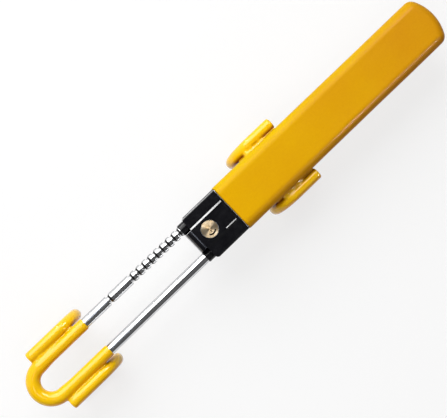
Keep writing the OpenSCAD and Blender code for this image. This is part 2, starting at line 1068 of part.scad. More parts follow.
u_bar();
u_bar_coat();
u_hook_left();
u_hook_right();
u_hook_left_coat();
u_hook_right_coat();
bar_yoke();
yoke_clips();
handle_tube();
handle_grip();
tube_end_plug();
body_hook_left();
body_hook_right();
body_hook_left_coat();
body_hook_right_coat();
lock_block();
block_pins();
head_cover();
cover_screws();
bar_collar_left();
bar_collar_right();
pocket_cover();
lock_barrel();
barrel_pin();
lock_plug();
plug_cam();
cam_screw();
pawl();
pawl_spring();
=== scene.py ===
"""Looks of a twin-bar steering wheel lock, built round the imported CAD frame."""
import json
import math

import bmesh
import bpy
from mathutils import Matrix, Vector, noise

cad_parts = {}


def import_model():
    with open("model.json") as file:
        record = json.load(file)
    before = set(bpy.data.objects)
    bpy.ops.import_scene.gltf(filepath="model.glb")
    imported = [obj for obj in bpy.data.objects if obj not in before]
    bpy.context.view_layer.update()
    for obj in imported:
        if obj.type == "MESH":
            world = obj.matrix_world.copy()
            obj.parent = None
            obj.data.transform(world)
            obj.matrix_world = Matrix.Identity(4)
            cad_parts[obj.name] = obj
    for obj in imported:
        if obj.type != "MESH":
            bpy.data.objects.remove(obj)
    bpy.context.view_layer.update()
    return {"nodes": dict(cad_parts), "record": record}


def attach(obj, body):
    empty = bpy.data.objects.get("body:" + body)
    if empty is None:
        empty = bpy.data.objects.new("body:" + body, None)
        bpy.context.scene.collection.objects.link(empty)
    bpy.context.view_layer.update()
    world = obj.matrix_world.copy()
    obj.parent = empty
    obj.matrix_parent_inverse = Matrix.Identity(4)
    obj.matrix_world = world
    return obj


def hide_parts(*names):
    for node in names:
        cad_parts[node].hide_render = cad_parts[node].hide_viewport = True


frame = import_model()
nodes = frame["nodes"]
MM = 0.001

# Places and sizes shared with the CAD model, in millimetres and degrees
Z_BAR = 62.7                                     # height of the bar, the hooks' arms and the grip's middle
X_BEND, X_COAT_END = -277.55, -208.85            # where the bend starts, and where the bar's dip ends
LEG_Y = 19.8                                     # a leg's distance from the middle, and the bend's radius
LEG_COAT_R, BEND_COAT_R, COAT_TAPER = 6.95, 8.15, 16.0
HOOK_R, HOOK_BEND = 6.7, 28.0                    # a dipped hook's radius, and the radius of its bend
U_HOOK_X, U_HOOK_Y, U_ARM, U_BACK = -240.15, 33.75, 39.4, 32.0
B_HOOK_X, B_HOOK_Y, B_ARM, B_BACK, B_LEAN = 59.6, 37.85, 30.9, 30.0, 4.5
X_GRIP, X_END = -8.1, 305.5                      # front of the grip, and the top of its dome
GRIP_W, GRIP_T, GRIP_R, DOME_R, LIP_R, GRIP_WALL = 60.5, 36.0, 11.0, 51.4, 1.8, 2.5
LOCK_X, FACE_Z = -40.9, 80.4                     # axis and face of the lock cylinder


# Node materials

def math_node(tree, kind, *values):
    """The output of a math node that works on numbers and on other nodes' outputs."""
    n = tree.nodes.new("ShaderNodeMath")
    n.operation = kind
    for socket, value in zip(n.inputs, values):
        if isinstance(value, float):
            socket.default_value = value
        else:
            tree.links.new(value, socket)
    return n.outputs["Value"]


def ramp_node(tree, value, stops):
    """A colour ramp over a value. stops: list of (place, colour)."""
    n = tree.nodes.new("ShaderNodeValToRGB")
    e = n.color_ramp.elements
    while len(e) < len(stops):
        e.new(0.5)
    for one, (place, colour) in zip(e, stops):
        one.position = place
        one.color = (*colour, 1.0)
    tree.links.new(value, n.inputs["Fac"])
    return n.outputs["Color"]


class Shader:
    """A principled material with small helpers for its texture nodes."""

    def __init__(self, name, **values):
        self.mat = bpy.data.materials.new(name)
        self.mat.use_nodes = True
        self.tree = self.mat.node_tree
        self.bsdf = next(n for n in self.tree.nodes if n.type == "BSDF_PRINCIPLED")
        for key, value in values.items():
            self.bsdf.inputs[key.replace("_", " ")].default_value = value

    def node(self, kind, **inputs):
        n = self.tree.nodes.new(kind)
        for key, value in inputs.items():
            n.inputs[key].default_value = value
        return n

    def link(self, a, b):
        self.tree.links.new(a, b)

    def position(self):
        """Object coordinates: every mesh keeps its place in its vertices."""
        return self.node("ShaderNodeTexCoord").outputs["Object"]

    def noise(self, scale, detail, rough, stretch=None):
        """Solid noise. The scale is in waves per metre, and stretch multiplies it along each axis."""
        n = self.node("ShaderNodeTexNoise", Scale=scale, Detail=detail, Roughness=rough)
        where = self.position()
        if stretch:
            m = self.node("ShaderNodeMapping", Scale=stretch)
            self.link(where, m.inputs["Vector"])
            where = m.outputs["Vector"]
        self.link(where, n.inputs["Vector"])
        return n.outputs["Fac"]

    def axis(self, name):
        """One object coordinate, in metres."""
        split = self.node("ShaderNodeSeparateXYZ")
        self.link(self.position(), split.inputs["Vector"])
        return split.outputs[name]

    def facing(self, name):
        """One part of the surface's own direction, from -1 to 1."""
        split = self.node("ShaderNodeSeparateXYZ")
        self.link(self.node("ShaderNodeNewGeometry").outputs["Normal"], split.inputs["Vector"])
        return split.outputs[name]

    def radius(self, shift, axes):
        """Distance from a line through the shifted origin, measured across the two named axes."""
        place = self.node("ShaderNodeMapping", Location=shift)
        self.link(self.position(), place.inputs["Vector"])
        split = self.node("ShaderNodeSeparateXYZ")
        self.link(place.outputs["Vector"], split.inputs["Vector"])
        flat = self.node("ShaderNodeCombineXYZ")
        for name in axes:
            self.link(split.outputs[name], flat.inputs[name])
        length = self.node("ShaderNodeVectorMath")
        length.operation = "LENGTH"
        self.link(flat.outputs["Vector"], length.inputs[0])
        return length.outputs["Value"]

    def ramp(self, value, stops):
        return ramp_node(self.tree, value, stops)

    def remap(self, value, source, result):
        """The value with its source span stretched onto the result span, and held beyond both ends."""
        n = self.node("ShaderNodeMapRange")
        for name, number in zip(("From Min", "From Max", "To Min", "To Max"), (*source, *result)):
            n.inputs[name].default_value = number
        self.link(value, n.inputs["Value"])
        return n.outputs["Result"]

    def math(self, kind, a, b):
        return math_node(self.tree, kind, a, b)

    def mix(self, factor, a, b, kind="MIX"):
        """Two colours, each a tuple or an output, mixed by a number or an output."""
        n = self.node("ShaderNodeMix")
        n.data_type = "RGBA"
        n.blend_type = kind
        if isinstance(factor, float):
            n.inputs["Factor"].default_value = factor
        else:
            self.link(factor, n.inputs["Factor"])
        for name, x in (("A", a), ("B", b)):
            socket = next(s for s in n.inputs if s.name == name and s.type == "RGBA")
            if isinstance(x, tuple):
                socket.default_value = (*x, 1.0)
            else:
                self.link(x, socket)
        return next(s for s in n.outputs if s.type == "RGBA")

    def crease_shade_mask(self, reach):
        """Mask for painted crease shade: 1 on open skin, falling to 0 down in a crease narrower than the
        reach, in metres.
        """
        n = self.node("ShaderNodeAmbientOcclusion", Distance=reach)
        n.samples = 16
        return self.remap(n.outputs["AO"], (0.25, 0.75), (0.0, 1.0))

    def colour(self, output):
        self.link(output, self.bsdf.inputs["Base Color"])

    def roughness(self, output):
        self.link(output, self.bsdf.inputs["Roughness"])

    def bump(self, heights):
        """heights: list of (height output, distance in metres)."""
        last = None
        for height, distance in heights:
            n = self.node("ShaderNodeBump", Strength=1.0, Distance=distance)
            self.link(height, n.inputs["Height"])
            if last:
                self.link(last, n.inputs["Normal"])
            last = n.outputs["Normal"]
        self.link(last, self.bsdf.inputs["Normal"])


def srgb(r, g, b):
    """Linear colour from the usual 0 to 255 values."""
    return tuple((x / 255 / 12.92) if x <= 10 else ((x / 255 + 0.055) / 1.055) ** 2.4 for x in (r, g, b))


PLAIN = (1.0, 1.0, 1.0)
CREASE_SHADE, CREASE_REACH = srgb(122, 48, 3), 0.012   # painted shade down in a crease, and the width of crease that it fills, in metres
FAR_END_SHADE_SPAN = (0.02, 0.31)                     # the stretch along X over which painted shade deepens the vinyl toward the far end, in metres
# Painted light and shade by facing: the grip is painted paler facing +Y, and grip and dips deeper facing -Y
GRIP_SIDE_LIGHT_AND_SHADE = [(0.10, (1.02, 0.84, 1.0)), (0.50, PLAIN), (0.90, (0.92, 1.13, 0.7))]
DIP_SIDE_SHADE = [(0.05, (1.0, 0.72, 0.9)), (0.18, (1.0, 0.80, 1.0)), (0.33, PLAIN)]


def vinyl(name, bright, deep, rough, spec, coat, gloss, side_light):
    """Plastisol dip: saturated yellow with soft orange peel under a clear gloss.

    Painted shade makes it deeper toward the far end and in creases, and painted light and shade tint it by
    the side that it faces.
    """
    s = Shader(name, Specular_IOR_Level=spec, Coat_Weight=coat, Coat_Roughness=gloss)
    # Painted shade: the vinyl darkens toward the handle's far end
    along = s.remap(s.axis("X"), FAR_END_SHADE_SPAN, (0.0, 0.75))
    drift = s.remap(s.noise(scale=14.0, detail=2.0, rough=0.5), (0.3, 0.7), (-0.12, 0.20))
    base = s.ramp(s.math("ADD", along, drift), [(0.0, bright), (1.0, deep)])
    fine = s.remap(s.noise(scale=420.0, detail=4.0, rough=0.6), (0.35, 0.75), (0.0, 0.12))
    grained = s.mix(fine, base, deep, "MULTIPLY")
    # Painted light and shade: the colour is tinted by which way the surface faces
    side = s.remap(s.facing("Y"), (-1.0, 1.0), (0.0, 1.0))
    side_lit = s.mix(1.0, grained, s.ramp(side, side_light), "MULTIPLY")
    # Painted shade: creases turn deep orange-brown by ambient occlusion
    s.colour(s.mix(s.crease_shade_mask(CREASE_REACH), CREASE_SHADE, side_lit))
    rub = s.noise(scale=55.0, detail=5.0, rough=0.65, stretch=(1.0, 2.2, 1.4))
    s.roughness(s.remap(rub, (0.3, 0.75), (rough - 0.05, rough + 0.08)))
    peel = s.noise(scale=110.0, detail=2.0, rough=0.5)
    pores = s.noise(scale=700.0, detail=2.0, rough=0.5)
    s.bump([(peel, 0.00006), (pores, 0.000004)])
    return s.mat


# Where a groove's floor turns into its wall and its wall into the plated skin, as radii, and where along Y
# the ratchet leg's side starts, in metres
GROOVE_FLOOR, GROOVE_RIM, RATCHET_SIDE = (0.0041, 0.0045), (0.0052, 0.0057), (0.0, 0.002)


def chrome():
    """Bright plate over a drawn bar, with faint draw lines and haze.

    The walls of the ratchet leg's grooves are painted near-black, as painted shade.
    """
    s = Shader("chrome_plate", Metallic=1.0, Specular_Tint=(0.15, 0.15, 0.16, 1.0))
    cloud = s.noise(scale=35.0, detail=4.0, rough=0.6)
    plate = s.ramp(cloud, [(0.30, (0.74, 0.75, 0.77)), (0.70, (0.88, 0.885, 0.895))])
    radius = s.radius((0.0, -LEG_Y * MM, -Z_BAR * MM), ("Y", "Z"))
    speck = s.remap(s.noise(scale=650.0, detail=3.0, rough=0.6), (0.3, 0.7), (-0.00025, 0.00025))
    depth = s.math("ADD", radius, speck)
    floor = s.remap(depth, GROOVE_FLOOR, (1.0, 0.0))
    skin = s.remap(depth, GROOVE_RIM, (0.0, 1.0))
    plain_leg = s.remap(s.axis("Y"), RATCHET_SIDE, (1.0, 0.0))
    groove_unshaded = s.math("MAXIMUM", s.math("MAXIMUM", floor, skin), plain_leg)
    # Painted shade: the groove walls on the ratchet leg are near-black
    s.colour(s.mix(groove_unshaded, (0.045, 0.043, 0.041), plate))
    lines = s.noise(scale=900.0, detail=3.0, rough=0.6, stretch=(0.03, 1.0, 1.0))
    haze = s.remap(cloud, (0.3, 0.75), (0.05, 0.12))
    s.roughness(s.math("ADD", haze, s.math("MULTIPLY", lines, 0.05)))
    waves = s.noise(scale=120.0, detail=2.0, rough=0.5)
    s.bump([(lines, 0.000006), (waves, 0.00002)])
    return s.mat


def moulded(name, low, high, rough, grain, spec, coat):
    """Moulded black plastic: fine spark-eroded grain, greyer where it is rubbed."""
    s = Shader(name, Specular_IOR_Level=spec, Coat_Weight=coat, Coat_Roughness=0.05)
    rub = s.noise(scale=60.0, detail=5.0, rough=0.62)
    s.colour(s.ramp(rub, [(0.35, low), (0.72, high)]))
    smear = s.noise(scale=210.0, detail=4.0, rough=0.6)
    s.roughness(s.remap(smear, (0.3, 0.7), (rough - 0.07, rough + 0.09)))
    sparks = s.noise(scale=1500.0, detail=3.0, rough=0.6)
    sinks = s.noise(scale=90.0, detail=2.0, rough=0.5)
    s.bump([(sparks, grain), (sinks, 0.00003)])
    return s.mat


def turned(name, low, high, rough):
    """Machined brass: the lathe's rings throw radial sheens, and what is cut below the face is painted
    near-black as shade.
    """
    s = Shader(name, Metallic=1.0, Anisotropic=0.9, Anisotropic_Rotation=0.25)
    rings = s.node("ShaderNodeTexNoise", Scale=2600.0, Detail=2.0, Roughness=0.6)
    rings.noise_dimensions = "1D"
    s.link(s.radius((-LOCK_X * MM, 0.0, 0.0), ("X", "Y")), rings.inputs["W"])
    tarnish = s.noise(scale=160.0, detail=4.0, rough=0.6)
    metal = s.ramp(tarnish, [(0.30, low), (0.68, high)])
    # Painted shade: everything cut below the face is near-black
    above = s.remap(s.axis("Z"), ((FACE_Z - 0.7) * MM, (FACE_Z - 0.25) * MM), (0.0, 1.0))
    s.colour(s.mix(above, (0.012, 0.010, 0.008), metal))
    s.roughness(s.remap(rings.outputs["Fac"], (0.3, 0.7), (rough - 0.06, rough + 0.10)))
    s.bump([(rings.outputs["Fac"], 0.000006)])
    tangent = s.node("ShaderNodeTangent")
    tangent.direction_type = "RADIAL"
    tangent.axis = "Z"
    s.link(tangent.outputs["Tangent"], s.bsdf.inputs["Tangent"])
    return s.mat


def cast(name, low, high, rough, metallic, grain):
    """Plain worked metal or hard plastic for the pieces inside."""
    s = Shader(name, Metallic=metallic)
    cloud = s.noise(scale=80.0, detail=5.0, rough=0.62)
    s.colour(s.ramp(cloud, [(0.32, low), (0.70, high)]))
    smear = s.noise(scale=300.0, detail=4.0, rough=0.6)
    s.roughness(s.remap(smear, (0.3, 0.7), (rough - 0.08, rough + 0.12)))
    s.bump([(s.noise(scale=700.0, detail=3.0, rough=0.6), grain)])
    return s.mat


MAT = {
    "yellow_dip": vinyl("vinyl_dip", srgb(252, 201, 0), srgb(242, 173, 2),
                        rough=0.30, spec=0.05, coat=0.9, gloss=0.03, side_light=DIP_SIDE_SHADE),
    "yellow_grip": vinyl("vinyl_grip", srgb(225, 170, 0), srgb(213, 143, 9),
                         rough=0.40, spec=0.05, coat=0.05, gloss=0.06, side_light=GRIP_SIDE_LIGHT_AND_SHADE),
    "chrome_bar": chrome(),
    "head_plastic": moulded("head_black", (0.005, 0.005, 0.0065), (0.009, 0.009, 0.011),
                            rough=0.13, grain=0.000004, spec=0.5, coat=0.35),
    "collar_plastic": moulded("collar_black", (0.003, 0.003, 0.004), (0.007, 0.007, 0.008),
                              rough=0.26, grain=0.00001, spec=0.2, coat=0.15),
    "plug_plastic": moulded("plug_black", (0.010, 0.010, 0.010), (0.026, 0.026, 0.027),
                            rough=0.50, grain=0.00003, spec=0.5, coat=0.1),
    "lock_brass": turned("brass_turned", srgb(200, 171, 127), srgb(226, 211, 184), rough=0.40),
    "lock_zinc": cast("zinc_cast", (0.36, 0.37, 0.39), (0.52, 0.53, 0.55),
                      rough=0.48, metallic=1.0, grain=0.00004),
    "hard_steel": cast("steel_hard", (0.34, 0.34, 0.35), (0.48, 0.48, 0.49),
                       rough=0.32, metallic=1.0, grain=0.00001),
    "hook_steel": cast("steel_hook", (0.24, 0.24, 0.25), (0.40, 0.40, 0.41),
                       rough=0.50, metallic=1.0, grain=0.00003),
    "tube_steel": cast("steel_tube", (0.30, 0.30, 0.31), (0.44, 0.44, 0.45),
                       rough=0.46, metallic=1.0, grain=0.00002),
    "fastener_steel": cast("steel_zinced", (0.50, 0.50, 0.51), (0.66, 0.66, 0.65),
                           rough=0.34, metallic=1.0, grain=0.00001),
    "nylon": cast("nylon_natural", (0.62, 0.60, 0.54), (0.74, 0.72, 0.66),
                  rough=0.46, metallic=0.0, grain=0.00003),
}
for part in frame["record"]["subparts"]:
    cad = nodes[part["node"]]
    cad.data.materials.clear()
    cad.data.materials.append(MAT[part["material_slot"]])


# Mesh helpers

def piece(name, verts, faces, slot, body, *stands_for):
    """A new mesh piece from points in millimetres."""
    mesh = bpy.data.meshes.new(name)
    mesh.from_pydata([tuple(c * MM for c in v) for v in verts], [], faces)
    return settle(name, mesh, slot, body, *stands_for)


def settle(name, mesh, slot, body, *stands_for):
    """A new object for a mesh, with its material, on its body and in place of the CAD nodes it stands for."""
    mesh.materials.clear()
    mesh.materials.append(MAT[slot])
    obj = bpy.data.objects.new(name, mesh)
    bpy.context.scene.collection.objects.link(obj)
    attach(obj, body)
    if stands_for:
        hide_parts(*stands_for)
    return obj


def shade(mesh, angle=180.0):
    """Smooth shading, with a sharp edge wherever faces meet at more than the angle."""
    mesh.shade_smooth()
    if angle < 180.0:
        mesh.set_sharp_from_angle(angle=math.radians(angle))


def apply_modifiers(obj):
    """Puts the object's modifiers into its mesh, and drops the mesh from before."""
    before = obj.data
    deps = bpy.context.evaluated_depsgraph_get()
    obj.data = bpy.data.meshes.new_from_object(obj.evaluated_get(deps))
    obj.modifiers.clear()
    bpy.data.meshes.remove(before)


COPLANAR = 0.6                                   # degrees between triangles of one flat CAD face
BEVEL_STEPS = 3
SHARP_EDGE = 38.0                                # degrees, for the shading of rounded pieces


def dressed(name, node, slot, body, bevel, angle=28.0):
    """A CAD node's form with its hard edges rounded and its flat faces left flat, in place of the node.

    The bevel is in millimetres, and edges that turn by more than the angle, in degrees, get it.
    """
    bm = bmesh.new()
    bm.from_mesh(nodes[node].data)
    bmesh.ops.remove_doubles(bm, verts=bm.verts, dist=1e-6)
    bmesh.ops.dissolve_limit(bm, angle_limit=math.radians(COPLANAR), verts=bm.verts, edges=bm.edges)
    mesh = bpy.data.meshes.new(name)
    bm.to_mesh(mesh)
    bm.free()
    obj = settle(name, mesh, slot, body, node)
    edges = obj.modifiers.new("edges", "BEVEL")
    edges.width = bevel * MM
    edges.segments = BEVEL_STEPS
    edges.limit_method = "ANGLE"
    edges.angle_limit = math.radians(angle)
    edges.use_clamp_overlap = True
    apply_modifiers(obj)
    shade(obj.data, SHARP_EDGE)
    flat = obj.modifiers.new("flat_faces", "WEIGHTED_NORMAL")
    flat.keep_sharp = True
    apply_modifiers(obj)
    obj.data.name = name


def frames(path):
    """Tangents and a steady pair of normals along a path."""
    tangents = []
    for i in range(len(path)):
        a, b = path[max(i - 1, 0)], path[min(i + 1, len(path) - 1)]
        tangents.append((b - a).normalized())
    side = tangents[0].orthogonal().normalized()
    out = []
    for t in tangents:
        side = (side - t * side.dot(t)).normalized()
        out.append((side, t.cross(side)))
    return out


def tube(path, radii, around=28):
    """Points and faces of a closed round bar along a path, with its own radius at each point."""
    verts, faces = [], []
    for p, r, (a, b) in zip(path, radii, frames(path)):
        for k in range(around):
            w = 2 * math.pi * k / around
            verts.append(p + a * (r * math.cos(w)) + b * (r * math.sin(w)))
    rows = len(path)
    for i in range(rows - 1):
        for k in range(around):
            n = (k + 1) % around
            faces.append((i * around + k, i * around + n, (i + 1) * around + n, (i + 1) * around + k))
    faces.append(tuple(reversed(range(around))))
    faces.append(tuple(range((rows - 1) * around, rows * around)))
    return [tuple(v) for v in verts], faces


def ring_faces(bands, around):
    """Faces of the bands between closed rings of points."""
    faces = []
    for i in range(bands):
        for k in range(around):
            n = (k + 1) % around
            faces.append((i * around + k, (i + 1) * around + k, (i + 1) * around + n, i * around + n))
    return faces


def rounded_end(tip, direction, r, edge, steps=6):
    """Extra points and radii that close a bar with a rounded edge, up to its tip."""
    least = 0.2
    points, radii = [], []
    for i in range(steps + 1):
        w = 0.5 * math.pi * i / steps
        points.append(tip - direction * (edge - edge * math.sin(w)))
        radii.append(max(r - edge + edge * math.cos(w), least))
    return points, radii


def ball(centre, size, rings=12, around=20):
    """An ellipsoid of weld."""
    verts = []
    for i in range(rings + 1):
        lat = math.pi * i / rings
        for k in range(around):
            lon = 2 * math.pi * k / around
            verts.append((centre[0] + size[0] * math.sin(lat) * math.cos(lon),
                          centre[1] + size[1] * math.sin(lat) * math.sin(lon),
                          centre[2] + size[2] * math.cos(lat)))
    return verts, ring_faces(rings, around)


def flipped(form):
    """The same form on the other side of the lock."""
    verts, faces = form
    return [(x, -y, z) for x, y, z in verts], [tuple(reversed(f)) for f in faces]


GROW = 0.12                                      # what the easing of a dip takes off a round bar
DIP_VOXEL = 0.85


def dipped(name, forms, body, eases, *stands_for):
    """One vinyl skin over several overlapping forms: fused, then eased so the dip bridges the creases."""
    verts, faces = [], []
    for v, f in forms:
        faces += [tuple(i + len(verts) for i in one) for one in f]
        verts += v
    obj = piece(name, verts, faces, "yellow_dip", body, *stands_for)
    bm = bmesh.new()
    bm.from_mesh(obj.data)
    bmesh.ops.remove_doubles(bm, verts=bm.verts, dist=1e-7)
    bmesh.ops.recalc_face_normals(bm, faces=bm.faces)
    bm.to_mesh(obj.data)
    bm.free()
    fuse = obj.modifiers.new("fuse", "REMESH")
    fuse.mode = "VOXEL"
    fuse.voxel_size = DIP_VOXEL * MM
    fuse.use_smooth_shade = True
    ease = obj.modifiers.new("ease", "SMOOTH")
    ease.factor = 0.5
    ease.iterations = eases
    apply_modifiers(obj)
    obj.data.name = name
    shade(obj.data)


# Vinyl dip on the bar end

COAT_EDGE = 0.9                                  # rounding where the dip ends on a leg
LEG_STEPS, BEND_STEPS = 34, 48
ARM_STEPS, HOOK_STEPS, BACK_STEPS, TIP_STEPS = 12, 40, 10, 9
ARM_EDGE, TIP_FLAT = 2.0, 0.7                    # rounding of a hook's square end, and the flat on its tip
WELD_START, WELD_SIZE = 3.5, (5.2, 5.0, 5.0)     # the weld's distance from the bend, and its swells' size
LEFT_WELD_END, LEFT_SWELLS = -241.0, (0.95, 1.12, 1.02, 0.92, 0.84, 0.86, 0.72, 0.60)
RIGHT_WELD_END, RIGHT_SWELLS = -246.0, (0.85, 0.85, 0.60, 0.32, 0.20, 0.16, 0.16)


def leg_radius(x):
    """The dip is thick on the bend and thins along the first stretch of a leg."""
    share = min(max((x - X_BEND) / COAT_TAPER, 0.0), 1.0)
    ease = share * share * (3 - 2 * share)
    return BEND_COAT_R + (LEG_COAT_R - BEND_COAT_R) * ease


def u_skin():
    """The dip along both legs and round the bend."""
    path, radii = [], []
    end_points, end_radii = rounded_end(Vector((X_COAT_END, LEG_Y, Z_BAR)), Vector((1, 0, 0)),
                                        LEG_COAT_R, COAT_EDGE)
    for p, r in zip(reversed(end_points), reversed(end_radii)):
        path.append(p)
        radii.append(r + GROW)
    for i in range(1, LEG_STEPS):
        x = X_COAT_END - COAT_EDGE + (X_BEND - X_COAT_END + COAT_EDGE) * i / LEG_STEPS
        path.append(Vector((x, LEG_Y, Z_BAR)))
        radii.append(leg_radius(x) + GROW)
    half = len(path)
    for i in range(BEND_STEPS + 1):
        w = math.pi * i / BEND_STEPS
        path.append(Vector((X_BEND - LEG_Y * math.sin(w), LEG_Y * math.cos(w), Z_BAR)))
        radii.append(BEND_COAT_R + GROW)
    for i in range(half - 1, -1, -1):
        p = path[i]
        path.append(Vector((p.x, -p.y, p.z)))
        radii.append(radii[i])
    return tube(path, radii)


def j_path(arm, back):
    """Centre line of a J hook that opens along +X, from its square end to its bullet tip."""
    points, radii = [], []
    ends, end_radii = rounded_end(Vector((arm, 0, 0)), Vector((1, 0, 0)), HOOK_R, ARM_EDGE)
    for p, r in zip(reversed(ends), reversed(end_radii)):
        points.append(p)
        radii.append(r)
    for i in range(1, ARM_STEPS):
        points.append(Vector(((arm - ARM_EDGE) * (1 - i / ARM_STEPS), 0, 0)))
        radii.append(HOOK_R)
    for i in range(HOOK_STEPS + 1):
        w = math.pi * i / HOOK_STEPS
        points.append(Vector((-HOOK_BEND * math.sin(w), 0, -HOOK_BEND + HOOK_BEND * math.cos(w))))
        radii.append(HOOK_R)
    edge = HOOK_R - TIP_FLAT
    for i in range(1, BACK_STEPS):
        points.append(Vector(((back - edge) * i / BACK_STEPS, 0, -2 * HOOK_BEND)))
        radii.append(HOOK_R)
    ends, end_radii = rounded_end(Vector((back, 0, -2 * HOOK_BEND)), Vector((1, 0, 0)),
                                  HOOK_R, edge, TIP_STEPS)
    return points + ends, radii + end_radii


def u_hook():
    """A hook beside a leg, on the +Y side."""
    points, radii = j_path(U_ARM, U_BACK)
    path = [Vector((U_HOOK_X - p.x, U_HOOK_Y, Z_BAR + p.z)) for p in points]
    return tube(path, [r + GROW for r in radii])


def u_weld(x1, swells):
    """Weld and pooled vinyl between a leg and its hook, from the bend to x1, with its heights on the way."""
    middle = 0.5 * (LEG_Y + U_HOOK_Y)
    x0 = X_BEND + WELD_START
    last = len(swells) - 1
    long, wide, high = WELD_SIZE
    return [ball((x0 + (x1 - x0) * i / last, middle, Z_BAR), (long, wide, high * h))
            for i, h in enumerate(swells)]


left_forms = [u_hook()] + u_weld(LEFT_WELD_END, LEFT_SWELLS)
right_forms = [u_hook()] + u_weld(RIGHT_WELD_END, RIGHT_SWELLS)
dipped("bar_skin", [u_skin()] + left_forms + [flipped(f) for f in right_forms], "sliding_bar", 8,
       "u_bar_coat", "u_hook_left_coat", "u_hook_right_coat")


# Vinyl dip on the handle's hooks

PAD_BACK, PAD_FRONT, PAD_Y, PAD_SUNK, PAD_HALF = 26, 30, 26.5, 0.25, 6.5
LUG_SWELLS, LUG_BACK, LUG_LENGTH, LUG_Y, LUG_SIZE = 7, 11.5, 22.0, 31.6, (4.8, 6.0, 5.2)


def body_hook():
    """A hook beside the grip, on the +Y side, leaning toward the middle."""
    points, radii = j_path(B_ARM, B_BACK)
    lean = math.radians(B_LEAN)
    path = [Vector((B_HOOK_X + p.x, B_HOOK_Y + p.z * math.sin(lean), Z_BAR + p.z * math.cos(lean)))
            for p in points]
    return tube(path, [r + GROW for r in radii])


def side_pad():
    """A slip of the grip's own side, just under its surface, so the dip flares onto it."""
    verts = [(x, y, Z_BAR + z) for x in (B_HOOK_X - PAD_BACK, B_HOOK_X + PAD_FRONT)
             for y in (PAD_Y, GRIP_W / 2 - PAD_SUNK) for z in (-PAD_HALF, PAD_HALF)]
    faces = [(0, 1, 3, 2), (4, 6, 7, 5), (0, 4, 5, 1), (2, 3, 7, 6), (0, 2, 6, 4), (1, 5, 7, 3)]
    return verts, faces


def body_lug():
    """Weld between a hook's arm and the handle, in uneven swells."""
    forms = []
    long, wide, high = LUG_SIZE
    for i in range(LUG_SWELLS):
        x = B_HOOK_X - LUG_BACK + LUG_LENGTH * (i / (LUG_SWELLS - 1))
        swell = 1.0 + 0.10 * math.sin(4.0 * i)
        forms.append(ball((x, LUG_Y, Z_BAR), (long, wide, high * swell)))
    return forms


hook_forms = [body_hook(), side_pad()] + body_lug()
dipped("hook_skin_left", hook_forms, "body", 9, "body_hook_left_coat")
dipped("hook_skin_right", [flipped(f) for f in hook_forms], "body", 9, "body_hook_right_coat")


# Vinyl grip

CORNER_Y = GRIP_W / 2 - GRIP_R
CORNER_REACH = math.sqrt((DOME_R - GRIP_R) ** 2 - CORNER_Y ** 2)
CORNER_ANGLE = math.atan2(CORNER_Y, CORNER_REACH)
X_DOME = X_END - DOME_R
X_CORNER = X_DOME + CORNER_REACH
SIDE_STEPS, CORNER_STEPS, DOME_STEPS = 74, 12, 18
TOP_STEPS, EDGE_STEPS, WALL_STEPS, LIP_STEPS = 10, 10, 3, 6
MOUTH = ((0.35, 6.0), (0.30, 1.2), (-0.15, 0.25))     # rings in the lip: past the wall, and behind the front
SLOW_WAVE, SLOW_HEIGHT = (0.016, 0.05, 0.05), 0.16    # waves per millimetre, and height in millimetres
QUICK_WAVE, QUICK_HEIGHT, QUICK_SHIFT = (0.05, 0.11, 0.11), 0.05, 9.0
STEADY, STEADY_FADE = 4.0, 20.0                       # the lip stays true, and the waves come in behind it
GRIP_SHARP_EDGE = 60.0


def grip_rows():
    """Rows along the plan of the grip's +Y half, from the front to the middle of the dome.

    Each is ("side", x), ("corner", angle) or ("dome", angle).
    """
    rows = []
    for i in range(SIDE_STEPS + 1):
        rows.append(("side", X_GRIP + LIP_R + (X_CORNER - X_GRIP - LIP_R) * i / SIDE_STEPS))
    for i in range(1, CORNER_STEPS + 1):
        rows.append(("corner", 0.5 * math.pi + (CORNER_ANGLE - 0.5 * math.pi) * i / CORNER_STEPS))
    for i in range(1, DOME_STEPS + 1):
        rows.append(("dome", CORNER_ANGLE * (1 - i / DOME_STEPS)))
    return rows


def plan(row, inset):
    """Point of the plan outline, moved in from the grip's widest outline."""
    kind, w = row
    if kind == "side":
        return w, GRIP_W / 2 - inset
    if kind == "corner":
        return X_CORNER + (GRIP_R - inset) * math.cos(w), CORNER_Y + (GRIP_R - inset) * math.sin(w)
    return X_DOME + (DOME_R - inset) * math.cos(w), (DOME_R - inset) * math.sin(w)


def grip_levels():
    """Heights and insets from the top face's edge round to the middle of the side."""
    levels = []
    for i in range(EDGE_STEPS + 1):
        w = 0.5 * math.pi * (1 - i / EDGE_STEPS)
        levels.append((GRIP_T / 2 - GRIP_R + GRIP_R * math.sin(w), GRIP_R - GRIP_R * math.cos(w)))
    for i in range(1, WALL_STEPS + 1):
        levels.append(((GRIP_T / 2 - GRIP_R) * (1 - i / WALL_STEPS), 0.0))
    return levels


def grip_ring(row, shrink=0.0, x=None):
    """One closed ring round the grip: across the top, down a side, across the back and up again."""
    quarter = []
    for z, inset in grip_levels():
        px, py = plan(row, inset)
        quarter.append((px if x is None else x, py, z))
    top_x, top_y, top_z = quarter[0]
    half = [(top_x, top_y * i / TOP_STEPS, top_z) for i in range(TOP_STEPS)] + quarter
    ring = list(half)
    ring += [(px, py, -pz) for px, py, pz in reversed(half[:-1])]
    ring += [(px, -py, pz) for px, py, pz in reversed(ring[1:-1])]
    if shrink:
        across, through = 1 - shrink / (GRIP_W / 2), 1 - shrink / (GRIP_T / 2)
        ring = [(px, py * across, pz * through) for px, py, pz in ring]
    return ring


def drift(p):
    """How far the poured skin stands off true at a point: it is never quite flat."""
    slow = noise.noise(Vector((p.x * SLOW_WAVE[0], p.y * SLOW_WAVE[1], p.z * SLOW_WAVE[2])))
    quick = noise.noise(Vector((p.x * QUICK_WAVE[0] + QUICK_SHIFT, p.y * QUICK_WAVE[1], p.z * QUICK_WAVE[2])))
    fade = min(max((p.x - X_GRIP - STEADY) / STEADY_FADE, 0.0), 1.0)
    return (SLOW_HEIGHT * slow + QUICK_HEIGHT * quick) * fade


